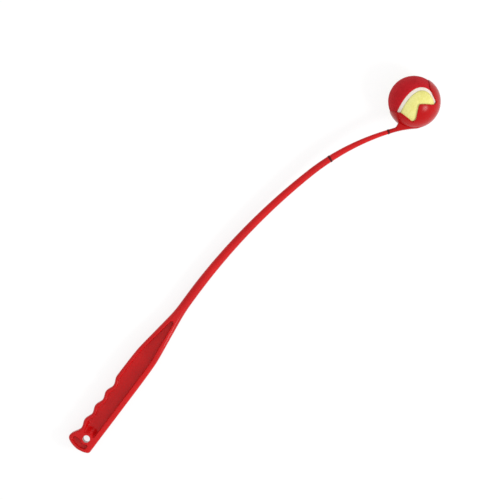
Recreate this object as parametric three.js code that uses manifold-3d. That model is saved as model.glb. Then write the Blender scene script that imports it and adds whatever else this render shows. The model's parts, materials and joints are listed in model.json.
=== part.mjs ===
// Tennis ball launcher with a ball in its cup, lying on its side on a flat surface.
// Lengths are in millimetres and angles in radians. +Z is up, and +X runs from the grip to the cup.
// The launcher is drawn flat, in the plane of its bend: x along the grip from the hang hole, y towards the
// finger grooves, z through the thickness. The last step lays it down on the surface.

import * as THREE from 'three';
import { mergeVertices } from 'three/addons/utils/BufferGeometryUtils.js';
import Module from 'manifold-3d';

const wasm = await Module();
wasm.setup();

const degrees = Math.PI / 180;

// Clearances
const seatGap = 0.3; // between two pieces that touch
const cutOverrun = 20; // how far every cutter runs past what it cuts

// Ball
const ballRadius = 32.5;
const feltThickness = 2.4;
const coreWall = 3.6;
const seamWidth = 4.6;
const seamSunk = 0.6; // the seam strip lies this much below the felt
const saddleShare = 2.6; // steepness of the saddle that parts the two felt panels
const yellowLobeShares = [-0.18, -0.48, 0.86]; // where the end of the yellow panel looks
const yellowWaistShares = [-0.88, -0.31, -0.36]; // where its waist looks

// Cup
const cupWall = 2.6;
const lipReach = 9.9; // lips past the middle of the ball
const lipCorner = { across: 25.2, sink: 1 }; // where a lip's slanted end starts
const earSink = 7.4; // tip of a side ear behind the middle of the ball
const earSlopeShare = 0.84; // fall of an ear's edges for each unit across
const notchSink = 20.4; // floor of a notch behind the middle of the ball
const notchOuter = 20.6; // notch side by the lip, from the cup's centre line
const earRound = 3.6;
const notchRound = 2.6;
const lipRound = 3;
const mouthLean = 35.85 * degrees; // the mouth leans back towards the grip
const lipThinning = 1.1; // the wall gets this much thinner on the way to the lips' tips
const thinningStart = 75 * degrees; // from the bottom of the bowl

// Shaft: three arcs in a row, each bending the same way
const shaftStart = { along: 200, across: 2.5, heading: 2.6 * degrees };
const lowerBend = { radius: 840, turn: 17.1 * degrees };
const upperBend = { radius: 310, turn: 22.9 * degrees };
const neckBend = { radius: 130, turn: 11.85 * degrees };
const rootRun = 45; // the first stretch keeps its thickness
const waistRun = 12; // where the grip's taper has ended
const tipThickness = 13; // across the bend, where the grip ends
const rootThickness = 12.1;
const ringThickness = 8.6; // at the lower joint ring
const neckThickness = 5.5; // at the upper joint ring
const neckEndThickness = 5.7; // where the neck meets the cup
const rootDepth = 18; // through the shaft, along the axis that it bends about
const ringDepth = 15.6;
const neckDepth = 13.6;
const neckEndDepth = 16;
const tailRun = 20; // the neck fades out along the back of the cup
const webRun = 26; // a web fills the corner between neck and cup, back along the neck from its end
const webTurn = 38 * degrees; // and round the cup
const webDepth = 8;

// Joint rings and the tongues inside them
const neckRun = 35.8; // from the upper ring to where the neck meets the cup
const linkRun = 83.5; // between the two rings
const ringWidth = 2.8;
const ringProud = 0.35; // the rings stand out of the shaft
const lowerTongue = { reach: 24, wall: 2 };
const upperTongue = { reach: 16, wall: 1.35 };

// Grip outline
const palmEdge = 14.1; // from the hang hole to the palm side
const fingerEdge = 18; // to the finger side above the grooves
const grooveFloor = 14; // to the bottom of a groove
const grooveCrest = 17.2; // to the ridge between two grooves
const groovePitch = 22.7;
const grooveCount = 4;
const firstGroove = 8; // the first groove, along from the hang hole
const lastRise = 13; // from the last groove up to the finger edge
const fingerShoulder = 129; // where the finger side starts to taper
const palmShoulder = 127;
const heelReach = 17.8; // from the hang hole to the end of the grip
const heelMiddle = 2.5; // the furthest point of the heel, across
const heelRadius = 30;
const heelCrest = 20.4; // the flared corner on the finger side
const fingerCornerRadius = 6;
const palmCornerRadius = 4.5;

// Grip section, recess and hang hole
const gripDepth = 24;
const gripRound = 4; // rounding along the grip's edges
const depthTaperStart = 140;
const fingerRim = 4.8;
const palmRim = 7;
const heelRim = 4;
const webThickness = 4;
const recessTipRadius = 2.4;
const recessTipBack = 11.6; // from the end of the grip back to the recess's tip
const hangHoleRadius = 4.7;
const bossRadius = 8.2;
const bridgeWidth = 11; // the boss is joined to both rims by a bridge across the recess
const pocketDepth = 5; // of the small pocket between the boss and the heel

// Fineness of the curves
const cornerSteps = 3;
const grooveSteps = 8; // stations in each groove
const heelSteps = 9;
const taperSteps = 12;
const shaftStep = 9.5; // spacing of the shaft's stations
const cupSides = 48;
const feltSides = 30;
const coreSides = 20;
const saddleSteps = 16;

const red = 0xc4282d;
const darkRing = 0x2a0c0d;

// Solids

function toManifold(geometry) {
  const bare = geometry.clone();
  bare.deleteAttribute('normal');
  bare.deleteAttribute('uv');
  const merged = mergeVertices(bare);
  const vertProperties = new Float32Array(merged.attributes.position.array);
  const triVerts = new Uint32Array(merged.index.array);
  return new wasm.Manifold(new wasm.Mesh({ numProp: 3, vertProperties, triVerts }));
}

function toGeometry(manifold) {
  const mesh = manifold.getMesh();
  const geometry = new THREE.BufferGeometry();
  geometry.setAttribute('position', new THREE.BufferAttribute(new Float32Array(mesh.vertProperties), 3));
  geometry.setIndex(new THREE.BufferAttribute(new Uint32Array(mesh.triVerts), 1));
  geometry.computeVertexNormals();
  return geometry;
}

// A closed skin over a row of rings that all have the same number of points. Both ends are fans.
function skin(rings) {
  const count = rings[0].length;
  const points = rings.flat();
  const faces = [];
  for (let i = 0; i + 1 < rings.length; i += 1) {
    for (let j = 0; j < count; j += 1) {
      const next = (j + 1) % count;
      const low = i * count;
      const high = low + count;
      faces.push(low + j, high + next, high + j);
      faces.push(low + j, low + next, high + next);
    }
  }
  for (const [ring, flip] of [[0, false], [rings.length - 1, true]]) {
    const middle = points.length;
    const centre = new THREE.Vector3();
    rings[ring].forEach((point) => centre.add(point));
    points.push(centre.divideScalar(count));
    for (let j = 0; j < count; j += 1) {
      const a = ring * count + j;
      const b = ring * count + ((j + 1) % count);
      faces.push(middle, flip ? a : b, flip ? b : a);
    }
  }
  const geometry = new THREE.BufferGeometry().setFromPoints(points);
  geometry.setIndex(faces);
  return geometry;
}

// A plate of the given outline, from one height to another.
function plate(outline, low, high) {
  const shape = new THREE.Shape(outline);
  const geometry = new THREE.ExtrudeGeometry(shape, { depth: high - low, bevelEnabled: false });
  return geometry.translate(0, 0, low);
}

// The points of a polygon with rounded corners. Each corner is { x, y, round }.
function roundedOutline(corners) {
  const outline = [];
  corners.forEach((corner, i) => {
    const here = new THREE.Vector2(corner.x, corner.y);
    if (!corner.round) {
      outline.push(here);
      return;
    }
    const before = corners[(i + corners.length - 1) % corners.length];
    const after = corners[(i + 1) % corners.length];
    const back = new THREE.Vector2(before.x, before.y).sub(here).normalize();
    const on = new THREE.Vector2(after.x, after.y).sub(here).normalize();
    const half = Math.acos(back.dot(on)) / 2;
    const bisector = back.clone().add(on).normalize();
    const centre = here.clone().addScaledVector(bisector, corner.round / Math.sin(half));
    const run = corner.round / Math.tan(half);
    const from = here.clone().addScaledVector(back, run).sub(centre);
    const to = here.clone().addScaledVector(on, run).sub(centre);
    const sweep = Math.atan2(from.cross(to), from.dot(to));
    for (let k = 0; k <= cornerSteps; k += 1) {
      const spoke = from.clone().rotateAround(new THREE.Vector2(), (sweep * k) / cornerSteps);
      outline.push(spoke.add(centre));
    }
  });
  return outline;
}

// A rounded section square to the shaft's line: up and down are its reaches to the finger and palm sides.
function section(frame, up, down, halfDepth, round) {
  const edge = Math.min(round, (up + down) / 2, halfDepth);
  const across = new THREE.Vector3(-Math.sin(frame.heading), Math.cos(frame.heading), 0);
  const foot = new THREE.Vector3(frame.x, frame.y, 0);
  const corners = [
    [up - edge, halfDepth - edge, 0],
    [edge - down, halfDepth - edge, 1],
    [edge - down, edge - halfDepth, 2],
    [up - edge, edge - halfDepth, 3],
  ];
  const ring = [];
  for (const [side, height, quarter] of corners) {
    for (let k = 0; k <= cornerSteps; k += 1) {
      const turn = (Math.PI / 2) * (quarter + k / cornerSteps);
      const point = foot.clone().addScaledVector(across, side + edge * Math.cos(turn));
      point.z = height + edge * Math.sin(turn);
      ring.push(point);
    }
  }
  return ring;
}

// Shaft line

function shaftFrame(distance) {
  let { along: x, across: y, heading } = shaftStart;
  let left = distance;
  const bends = [lowerBend, upperBend, neckBend];
  bends.forEach((bend, i) => {
    const whole = bend.radius * bend.turn;
    const run = i + 1 < bends.length ? Math.min(left, whole) : left;
    const after = heading - run / bend.radius;
    x += bend.radius * (Math.sin(heading) - Math.sin(after));
    y += bend.radius * (Math.cos(after) - Math.cos(heading));
    heading = after;
    left -= run;
  });
  return { x, y, heading };
}

const shaftLength = [lowerBend, upperBend, neckBend].reduce((sum, bend) => sum + bend.radius * bend.turn, 0);
const upperRingAt = shaftLength - neckRun;
const lowerRingAt = upperRingAt - linkRun;

// Half sizes of the shaft at a distance along it, between the stations that name them.
function shaftSize(distance) {
  const stations = [
    [0, tipThickness, rootDepth],
    [waistRun, rootThickness, rootDepth],
    [rootRun, rootThickness, rootDepth],
    [lowerRingAt, ringThickness, ringDepth],
    [upperRingAt, neckThickness, neckDepth],
    [shaftLength, neckEndThickness, neckEndDepth],
  ];
  let i = 1;
  while (i + 1 < stations.length && stations[i][0] < distance) {
    i += 1;
  }
  const [from, thicknessFrom, depthFrom] = stations[i - 1];
  const [to, thicknessTo, depthTo] = stations[i];
  const share = THREE.MathUtils.clamp((distance - from) / (to - from), 0, 1);
  return {
    thickness: THREE.MathUtils.lerp(thicknessFrom, thicknessTo, share) / 2,
    depth: THREE.MathUtils.lerp(depthFrom, depthTo, share) / 2,
  };
}

// The shaft's section at a distance, drawn in on every side by inset.
function shaftSection(distance, inset) {
  const size = shaftSize(distance);
  const half = size.thickness - inset;
  return section(shaftFrame(distance), half, half, size.depth - inset, half);
}

function shaftRings(from, to, inset) {
  const steps = Math.max(1, Math.ceil((to - from) / shaftStep));
  const rings = [];
  for (let i = 0; i <= steps; i += 1) {
    rings.push(shaftSection(from + ((to - from) * i) / steps, inset));
  }
  return rings;
}

function shaftSolid(from, to, inset) {
  return toManifold(skin(shaftRings(from, to, inset)));
}

// Grip

const lastGroove = firstGroove + groovePitch * (grooveCount - 1);
const gripEnd = shaftStart.along;

// A half wave from one height to another.
function wave(from, to, share) {
  return from + ((to - from) * (1 - Math.cos(Math.PI * share))) / 2;
}

// Half the width of the heel's round end. Past its middle the width stays as it is.
function heelHalf(x, radius) {
  const centre = heelRadius - heelReach;
  return Math.sqrt(Math.max(0, radius ** 2 - Math.min(0, x - centre) ** 2));
}

function cornerArc(x, centre, radius) {
  return Math.sqrt(Math.max(0, radius ** 2 - (x - centre) ** 2));
}

// A rounded corner between a side of the grip and the heel: its centre, and where it meets the heel's round end.
function heelCorner(reach, radius) {
  const centre = heelRadius - heelReach;
  const back = Math.sqrt((heelRadius - radius) ** 2 - (reach - radius) ** 2);
  return { centre: centre - back, turn: centre - (back * heelRadius) / (heelRadius - radius) };
}

const fingerCorner = heelCorner(heelCrest - heelMiddle, fingerCornerRadius);
const palmCorner = heelCorner(heelMiddle + palmEdge, palmCornerRadius);

function fingerSide(x) {
  const tip = shaftStart.across + tipThickness / 2;
  if (x < fingerCorner.turn) {
    return heelMiddle + heelHalf(x, heelRadius);
  }
  if (x < fingerCorner.centre) {
    return heelCrest - fingerCornerRadius + cornerArc(x, fingerCorner.centre, fingerCornerRadius);
  }
  if (x < firstGroove) {
    const share = (x - fingerCorner.centre) / (firstGroove - fingerCorner.centre);
    return wave(heelCrest, grooveFloor, share);
  }
  if (x < lastGroove) {
    const share = ((x - firstGroove) / groovePitch) % 1;
    return wave(grooveFloor, grooveCrest, share * 2);
  }
  if (x < lastGroove + lastRise) {
    return wave(grooveFloor, fingerEdge, (x - lastGroove) / lastRise);
  }
  const share = Math.max(0, (x - fingerShoulder) / (gripEnd - fingerShoulder));
  return THREE.MathUtils.lerp(fingerEdge, tip, share);
}

function palmSide(x) {
  const tip = shaftStart.across - tipThickness / 2;
  if (x < palmCorner.turn) {
    return heelMiddle - heelHalf(x, heelRadius);
  }
  if (x < palmCorner.centre) {
    return palmCornerRadius - palmEdge - cornerArc(x, palmCorner.centre, palmCornerRadius);
  }
  const share = Math.max(0, (x - palmShoulder) / (gripEnd - palmShoulder));
  return THREE.MathUtils.lerp(-palmEdge, tip, share);
}

function gripHalfDepth(x) {
  const intoHeel = Math.max(0, gripRound - (x + heelReach));
  const full = gripDepth / 2 - gripRound + Math.sqrt(gripRound ** 2 - intoHeel ** 2);
  const share = THREE.MathUtils.clamp((x - depthTaperStart) / (gripEnd - depthTaperStart), 0, 1);
  return wave(full, rootDepth / 2, share);
}

function gripStations() {
  const stations = [];
  for (let i = 1; i <= heelSteps; i += 1) {
    const share = i / heelSteps;
    stations.push(-heelReach + (heelReach + fingerCorner.centre) * share ** 2);
  }
  const flare = grooveSteps - 1;
  for (let i = 1; i <= flare; i += 1) {
    stations.push(fingerCorner.centre + ((firstGroove - fingerCorner.centre) * i) / flare);
  }
  const grooves = (grooveCount - 1) * grooveSteps;
  for (let i = 1; i <= grooves; i += 1) {
    stations.push(firstGroove + (groovePitch * i) / grooveSteps);
  }
  for (let i = 1; i <= grooveSteps / 2; i += 1) {
    stations.push(lastGroove + (lastRise * i * 2) / grooveSteps);
  }
  stations.push(palmShoulder, fingerShoulder);
  for (let i = 1; i < taperSteps; i += 1) {
    stations.push(fingerShoulder + ((gripEnd - fingerShoulder) * i) / taperSteps);
  }
  return stations;
}

function gripRings() {
  return gripStations().map((x) => {
    const halfDepth = gripHalfDepth(x);
    const share = THREE.MathUtils.clamp((x - depthTaperStart) / (gripEnd - depthTaperStart), 0, 1);
    const round = THREE.MathUtils.lerp(gripRound, tipThickness / 2, share);
    return section({ x, y: 0, heading: 0 }, fingerSide(x), -palmSide(x), halfDepth, round);
  });
}

// The width of a rim that changes evenly along the taper, from a shoulder to the recess's tip.
function rimWidth(x, shoulder, end, wide, tip) {
  const share = THREE.MathUtils.clamp((x - shoulder) / (end - shoulder), 0, 1);
  return THREE.MathUtils.lerp(wide, tip, share);
}

// The recess on one side of the web, seen from above: the grip's outline drawn in by the rims.
function recessOutline() {
  const end = gripEnd - recessTipBack - recessTipRadius;
  const inner = heelRadius - heelRim;
  const start = heelRim - heelReach;
  const stations = [...gripStations().filter((x) => x > start && x < end), end];
  const middle = shaftStart.across;
  const fingerTip = fingerSide(end) - middle - recessTipRadius;
  const palmTip = middle - recessTipRadius - palmSide(end);
  const top = (x) => {
    const rim = rimWidth(x, fingerShoulder, end, fingerRim, fingerTip);
    return Math.min(fingerSide(x) - rim, heelMiddle + heelHalf(x, inner));
  };
  const floor = (x) => {
    const rim = rimWidth(x, palmShoulder, end, palmRim, palmTip);
    return Math.max(palmSide(x) + rim, heelMiddle - heelHalf(x, inner));
  };
  const outline = stations.map((x) => new THREE.Vector2(x, floor(x)));
  for (let k = 1; k < 2 * cornerSteps; k += 1) {
    const turn = -Math.PI / 2 + (Math.PI * k) / (2 * cornerSteps);
    const x = end + recessTipRadius * Math.cos(turn);
    outline.push(new THREE.Vector2(x, middle + recessTipRadius * Math.sin(turn)));
  }
  stations.reverse().forEach((x) => outline.push(new THREE.Vector2(x, top(x))));
  outline.push(new THREE.Vector2(start, heelMiddle));
  return outline;
}

function roundBar(radius, length) {
  const geometry = new THREE.CylinderGeometry(radius, radius, length, cupSides);
  return toManifold(geometry.rotateX(Math.PI / 2));
}

function handleSolid() {
  const end = lowerRingAt - ringWidth / 2 - seatGap;
  const rings = [...gripRings(), ...shaftRings(0, end, 0)];
  const top = gripDepth / 2 + cutOverrun;
  const bridge = new THREE.BoxGeometry(bridgeWidth, 2 * fingerEdge, 2 * top);
  const pocketFloor = new THREE.BoxGeometry(2 * heelReach, 2 * heelCrest, gripDepth - 2 * pocketDepth);
  pocketFloor.translate(-heelReach, 0, 0);
  const boss = roundBar(bossRadius, 2 * top).add(toManifold(bridge)).add(toManifold(pocketFloor));
  let handle = toManifold(skin(rings));
  for (const [low, high] of [[webThickness / 2, top], [-top, -webThickness / 2]]) {
    const recess = toManifold(plate(recessOutline(), low, high)).subtract(boss);
    handle = handle.subtract(recess);
  }
  handle = handle.subtract(roundBar(hangHoleRadius, 2 * top));
  const socketFloor = lowerRingAt - lowerTongue.reach - seatGap;
  return handle.subtract(shaftSolid(socketFloor, end + cutOverrun, lowerTongue.wall));
}

// Joints in the shaft

function ringSolid(at, tongue) {
  const from = at - ringWidth / 2;
  const to = at + ringWidth / 2;
  const sleeve = toManifold(skin([shaftSection(from, -ringProud), shaftSection(to, -ringProud)]));
  return sleeve.subtract(shaftSolid(from - cutOverrun, to + cutOverrun, tongue.wall));
}

function linkSolid() {
  const from = lowerRingAt + ringWidth / 2 + seatGap;
  const to = upperRingAt - ringWidth / 2 - seatGap;
  const body = shaftSolid(from, to, 0);
  const tongueEnd = lowerRingAt - lowerTongue.reach;
  const tongue = shaftSolid(tongueEnd, from + ringWidth, lowerTongue.wall + seatGap);
  const socketFloor = upperRingAt - upperTongue.reach - seatGap;
  const socket = shaftSolid(socketFloor, to + cutOverrun, upperTongue.wall);
  return body.add(tongue).subtract(socket);
}

// Cup

const cupInside = ballRadius + seatGap;
const cupRadius = cupInside + cupWall;
const neckEnd = shaftFrame(shaftLength);
const cupAcross = cupRadius - neckEndThickness / 2;
const cupCentre = new THREE.Vector3(
  neckEnd.x - cupAcross * Math.sin(neckEnd.heading),
  neckEnd.y + cupAcross * Math.cos(neckEnd.heading),
  0,
);
const mouthHeading = neckEnd.heading + Math.PI / 2 + mouthLean;

// Solids drawn round the origin with the mouth along +Y are turned and moved into the cup.
function intoCup(geometry) {
  return geometry.rotateZ(mouthHeading - Math.PI / 2).translate(cupCentre.x, cupCentre.y, 0);
}

// The inside of the cup: a bowl as far as the middle of the ball, and straight from there out.
function cupHollow() {
  const profile = [];
  const steps = cupSides / 4;
  for (let i = 0; i <= steps; i += 1) {
    const turn = (Math.PI / 2) * (i / steps);
    profile.push(new THREE.Vector2(cupInside * Math.sin(turn), -cupInside * Math.cos(turn)));
  }
  profile.push(new THREE.Vector2(cupInside, cupRadius + cutOverrun));
  profile.push(new THREE.Vector2(0, cupRadius + cutOverrun));
  return intoCup(new THREE.LatheGeometry(profile, cupSides));
}

// Seen square to the launcher, the cup's edge is a W: slanted lip ends, two notches and an ear between.
function mouthCutter() {
  const far = cupRadius + cutOverrun;
  const notchInner = (notchSink - earSink) / earSlopeShare;
  const lipAcross = Math.sqrt(cupRadius ** 2 - lipReach ** 2);
  const lipSlope = (lipReach + lipCorner.sink) / (lipAcross - lipCorner.across);
  const half = [
    { x: notchInner, y: -notchSink, round: notchRound },
    { x: notchOuter, y: -notchSink, round: notchRound },
    { x: lipCorner.across, y: -lipCorner.sink, round: lipRound },
    { x: far, y: (far - lipCorner.across) * lipSlope - lipCorner.sink, round: 0 },
  ];
  const mirrored = half.map(({ x, y, round }) => ({ x: -x, y, round })).reverse();
  const corners = [
    ...mirrored,
    { x: 0, y: -earSink, round: earRound },
    ...half,
    { x: far, y: 2 * far, round: 0 },
    { x: -far, y: 2 * far, round: 0 },
  ];
  return intoCup(plate(roundedOutline(corners), -far, far));
}

// The neck runs on along the back of the cup and sinks into it.
function neckRings() {
  const start = upperRingAt + ringWidth / 2 + seatGap;
  const rings = shaftRings(start, shaftLength, 0);
  const steps = Math.ceil(tailRun / shaftStep) + 1;
  const half = neckEndThickness / 2;
  for (let i = 1; i <= steps; i += 1) {
    const share = i / steps;
    const turn = (tailRun * share) / cupRadius;
    const heading = neckEnd.heading + turn;
    const reach = cupAcross - half * share;
    const frame = {
      x: cupCentre.x + reach * Math.sin(heading),
      y: cupCentre.y - reach * Math.cos(heading),
      heading,
    };
    const depth = (neckEndDepth / 2) * Math.sqrt(1 - share ** 2) + half * share;
    rings.push(section(frame, half, half, depth, half));
  }
  return rings;
}

// The outside of the cup: a ball whose wall gets thinner towards the lips' tips.
function cupOutside() {
  const profile = [];
  const steps = cupSides / 2;
  const lipTurn = Math.PI / 2 + Math.asin(lipReach / cupRadius);
  for (let i = 0; i <= steps; i += 1) {
    const turn = (Math.PI * i) / steps;
    const share = THREE.MathUtils.clamp((turn - thinningStart) / (lipTurn - thinningStart), 0, 1);
    const radius = cupRadius - lipThinning * share;
    profile.push(new THREE.Vector2(radius * Math.sin(turn), -radius * Math.cos(turn)));
  }
  return intoCup(new THREE.LatheGeometry(profile, cupSides));
}

// A small web in the corner where the neck leaves the cup.
function neckWeb() {
  const back = shaftFrame(shaftLength - webRun);
  const front = shaftFrame(shaftLength - webRun / 2);
  const heading = neckEnd.heading - webTurn;
  const reach = cupRadius - cupWall / 2;
  const onCup = new THREE.Vector2(
    cupCentre.x + reach * Math.sin(heading),
    cupCentre.y - reach * Math.cos(heading),
  );
  const corners = [new THREE.Vector2(back.x, back.y), new THREE.Vector2(front.x, front.y), onCup];
  return toManifold(plate(corners, -webDepth / 2, webDepth / 2));
}

function cupSolid() {
  const outside = toManifold(cupOutside()).add(neckWeb());
  const start = upperRingAt + ringWidth / 2 + seatGap;
  const tongueEnd = upperRingAt - upperTongue.reach;
  const tongue = shaftSolid(tongueEnd, start + ringWidth, upperTongue.wall + seatGap);
  const neck = toManifold(skin(neckRings())).add(tongue);
  return outside.add(neck).subtract(toManifold(cupHollow())).subtract(toManifold(mouthCutter()));
}

// Ball

function ballShell(outer, inner, sides) {
  const skinOut = toManifold(new THREE.SphereGeometry(outer, sides, Math.ceil(sides / 2)));
  return skinOut.subtract(toManifold(new THREE.SphereGeometry(inner, sides, Math.ceil(sides / 2))));
}

// All that lies above a saddle, in the ball's own frame: the saddle is moved along its normal by offset.
function aboveSaddle(offset) {
  const reach = ballRadius + feltThickness;
  const roof = saddleShare * reach + cutOverrun;
  const points = [];
  const count = saddleSteps + 1;
  for (const top of [false, true]) {
    for (let i = 0; i < count; i += 1) {
      for (let j = 0; j < count; j += 1) {
        const x = reach * ((2 * i) / saddleSteps - 1);
        const y = reach * ((2 * j) / saddleSteps - 1);
        const slope = (2 * saddleShare * Math.hypot(x, y)) / ballRadius;
        const height = (saddleShare * (x * x - y * y)) / ballRadius;
        points.push(new THREE.Vector3(x, y, top ? roof : height + offset * Math.hypot(1, slope)));
      }
    }
  }
  const at = (i, j, top) => i * count + j + (top ? count * count : 0);
  const faces = [];
  const quad = (a, b, c, d) => faces.push(a, b, c, a, c, d);
  for (let i = 0; i < saddleSteps; i += 1) {
    for (let j = 0; j < saddleSteps; j += 1) {
      quad(at(i, j, true), at(i + 1, j, true), at(i + 1, j + 1, true), at(i, j + 1, true));
      quad(at(i, j), at(i, j + 1), at(i + 1, j + 1), at(i + 1, j));
    }
    quad(at(i, 0), at(i + 1, 0), at(i + 1, 0, true), at(i, 0, true));
    quad(at(i + 1, saddleSteps), at(i, saddleSteps), at(i, saddleSteps, true), at(i + 1, saddleSteps, true));
    quad(at(0, i + 1), at(0, i), at(0, i, true), at(0, i + 1, true));
    quad(at(saddleSteps, i), at(saddleSteps, i + 1), at(saddleSteps, i + 1, true), at(saddleSteps, i, true));
  }
  const geometry = new THREE.BufferGeometry().setFromPoints(points);
  geometry.setIndex(faces);
  return toManifold(geometry);
}

// The ball's own frame: +Y looks out of the yellow lobe, +Z out of the yellow waist.
function ballTurn() {
  const lobe = new THREE.Vector3(...yellowLobeShares).normalize();
  const waist = new THREE.Vector3(...yellowWaistShares);
  waist.addScaledVector(lobe, -waist.dot(lobe)).normalize();
  const across = new THREE.Vector3().crossVectors(lobe, waist);
  return new THREE.Matrix4().makeBasis(across, lobe, waist);
}

const coreRadius = ballRadius - feltThickness - seatGap;

function coreHalf(side) {
  const profile = [];
  const steps = coreSides / 2;
  const inside = coreRadius - coreWall;
  const lift = seatGap / 2;
  for (let i = 0; i <= steps; i += 1) {
    const turn = Math.acos(lift / coreRadius) * (1 - i / steps);
    profile.push(new THREE.Vector2(coreRadius * Math.sin(turn), coreRadius * Math.cos(turn)));
  }
  for (let i = 0; i <= steps; i += 1) {
    const turn = Math.acos(lift / inside) * (i / steps);
    profile.push(new THREE.Vector2(inside * Math.sin(turn), inside * Math.cos(turn)));
  }
  profile.push(profile[0].clone());
  const geometry = new THREE.LatheGeometry(profile, coreSides);
  return side > 0 ? geometry : geometry.rotateX(Math.PI);
}

// Assembly

function piece(name, geometry, color, roughness) {
  const mesh = new THREE.Mesh(geometry, new THREE.MeshStandardMaterial({ color, roughness, metalness: 0 }));
  mesh.name = name;
  return mesh;
}

const launcher = new THREE.Group();
launcher.add(piece('handle', toGeometry(handleSolid()), red, 0.35));
launcher.add(piece('lower_joint_ring', toGeometry(ringSolid(lowerRingAt, lowerTongue)), darkRing, 0.5));
launcher.add(piece('shaft_link', toGeometry(linkSolid()), red, 0.35));
launcher.add(piece('upper_joint_ring', toGeometry(ringSolid(upperRingAt, upperTongue)), darkRing, 0.5));
launcher.add(piece('cup_head', toGeometry(cupSolid()), red, 0.3));

const ball = new THREE.Group();
const felt = ballShell(ballRadius, ballRadius - feltThickness, feltSides);
const strip = ballShell(ballRadius - seamSunk, ballRadius - feltThickness, feltSides);
const yellowCut = aboveSaddle(seamWidth / 2);
const redCut = aboveSaddle(-seamWidth / 2);
const seamHigh = aboveSaddle(seamWidth / 2 - seatGap);
const seamLow = aboveSaddle(seatGap - seamWidth / 2);
ball.add(piece('ball_felt_yellow', toGeometry(felt.intersect(yellowCut)), 0xe8ea98, 0.95));
ball.add(piece('ball_felt_red', toGeometry(felt.subtract(redCut)), 0xb01e24, 0.95));
ball.add(piece('ball_seam', toGeometry(strip.intersect(seamLow).subtract(seamHigh)), 0xede2d4, 0.8));
ball.add(piece('ball_core_front', coreHalf(1), 0x5a5650, 0.85));
ball.add(piece('ball_core_back', coreHalf(-1), 0x5a5650, 0.85));
ball.applyMatrix4(ballTurn());
ball.position.copy(cupCentre);
launcher.add(ball);

// Laying down: the ball and two places on the grip's lower edge touch the surface.

// The upward normal of the plane under three balls, each { centre, radius }.
function planeUnder(first, second, third) {
  const a = second.centre.clone().sub(first.centre);
  const b = third.centre.clone().sub(first.centre);
  const riseA = second.radius - first.radius;
  const riseB = third.radius - first.radius;
  const aa = a.dot(a);
  const bb = b.dot(b);
  const ab = a.dot(b);
  const whole = aa * bb - ab * ab;
  const flat = a.clone().multiplyScalar((riseA * bb - riseB * ab) / whole);
  flat.addScaledVector(b, (riseB * aa - riseA * ab) / whole);
  const square = new THREE.Vector3().crossVectors(a, b).normalize();
  if (square.z < 0) {
    square.negate();
  }
  return flat.addScaledVector(square, Math.sqrt(1 - flat.lengthSq()));
}

function gripFoot(x, across) {
  const centre = new THREE.Vector3(x, across - gripRound, gripRound - gripDepth / 2);
  return { centre, radius: gripRound };
}

const up = planeUnder(
  gripFoot(fingerCorner.centre, heelCrest),
  gripFoot(fingerShoulder, fingerEdge),
  { centre: cupCentre, radius: ballRadius },
);
const lay = new THREE.Quaternion().setFromUnitVectors(up, new THREE.Vector3(0, 0, 1));
const ahead = cupCentre.clone().applyQuaternion(lay);
const swing = new THREE.Quaternion().setFromAxisAngle(new THREE.Vector3(0, 0, 1), -Math.atan2(ahead.y, ahead.x));
launcher.quaternion.copy(swing.multiply(lay));

const bounds = new THREE.Box3().setFromObject(launcher, true);
const middle = bounds.getCenter(new THREE.Vector3());
launcher.position.set(-middle.x, -middle.y, -bounds.min.z);

const assembly = new THREE.Group();
assembly.add(launcher);

export default assembly;
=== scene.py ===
# %% [markdown]
# # A tennis ball launcher
# This lesson dresses a ball launcher: a moulded red stick with a grip, a long bent shaft and a snap cup,
# and the felt ball in it. The solids come from a CAD model that is loaded as a fixed frame. Every piece made
# here stands for one of those solids, in the same place, with the curves, edges and finish of the real one.

# %% Load the frame
import json
import math

import bmesh
import bpy
from mathutils import Matrix, Vector


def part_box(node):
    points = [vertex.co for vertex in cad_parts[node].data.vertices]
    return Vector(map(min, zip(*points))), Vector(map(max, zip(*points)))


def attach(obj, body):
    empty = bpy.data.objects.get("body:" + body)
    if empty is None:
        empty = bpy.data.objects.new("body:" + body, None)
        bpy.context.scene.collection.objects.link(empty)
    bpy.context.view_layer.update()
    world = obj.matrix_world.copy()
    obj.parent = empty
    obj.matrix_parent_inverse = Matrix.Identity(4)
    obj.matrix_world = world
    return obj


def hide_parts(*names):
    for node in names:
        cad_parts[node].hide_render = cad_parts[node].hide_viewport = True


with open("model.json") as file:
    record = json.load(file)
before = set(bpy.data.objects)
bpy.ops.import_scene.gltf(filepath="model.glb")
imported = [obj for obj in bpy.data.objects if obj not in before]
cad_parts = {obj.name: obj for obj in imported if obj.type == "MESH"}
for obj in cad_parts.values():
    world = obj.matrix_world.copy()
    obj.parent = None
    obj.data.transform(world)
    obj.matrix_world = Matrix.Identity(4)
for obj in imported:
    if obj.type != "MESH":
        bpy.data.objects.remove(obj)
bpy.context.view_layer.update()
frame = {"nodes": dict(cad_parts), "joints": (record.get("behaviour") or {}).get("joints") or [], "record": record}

print("frame:", sorted(frame["nodes"]))

# %% [markdown]
# ## The launcher's own plane
# The launcher lies tilted, on its ball and two corners of its grip, so no world axis runs along it. It is
# much easier to draw flat. The drawing plane has its origin in the hang hole, x along the grip, y towards
# the finger grooves and z through the thickness, all in millimetres. The frame says where that plane lies:
# the grip's flat face gives z, the way the ball leaves the cup gives a direction in the plane, and the ball
# gives a point.

# %% From the drawing plane to the frame
MM = 0.001
MOUTH_HEADING = math.radians(76.6)
BALL_CENTRE = Vector((603.276, -74.416, 0))

grip_face = next(m for m in frame["record"]["mounts"] if m["name"] == "grip_face_up")
ball_out = next(j for j in frame["joints"] if j["name"] == "ball_out")
square = Vector(grip_face["axis"]).normalized()
mouth = Vector(ball_out["axis"]).normalized()
along = Matrix.Rotation(-MOUTH_HEADING, 3, square) @ mouth
across = square.cross(along)

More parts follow.
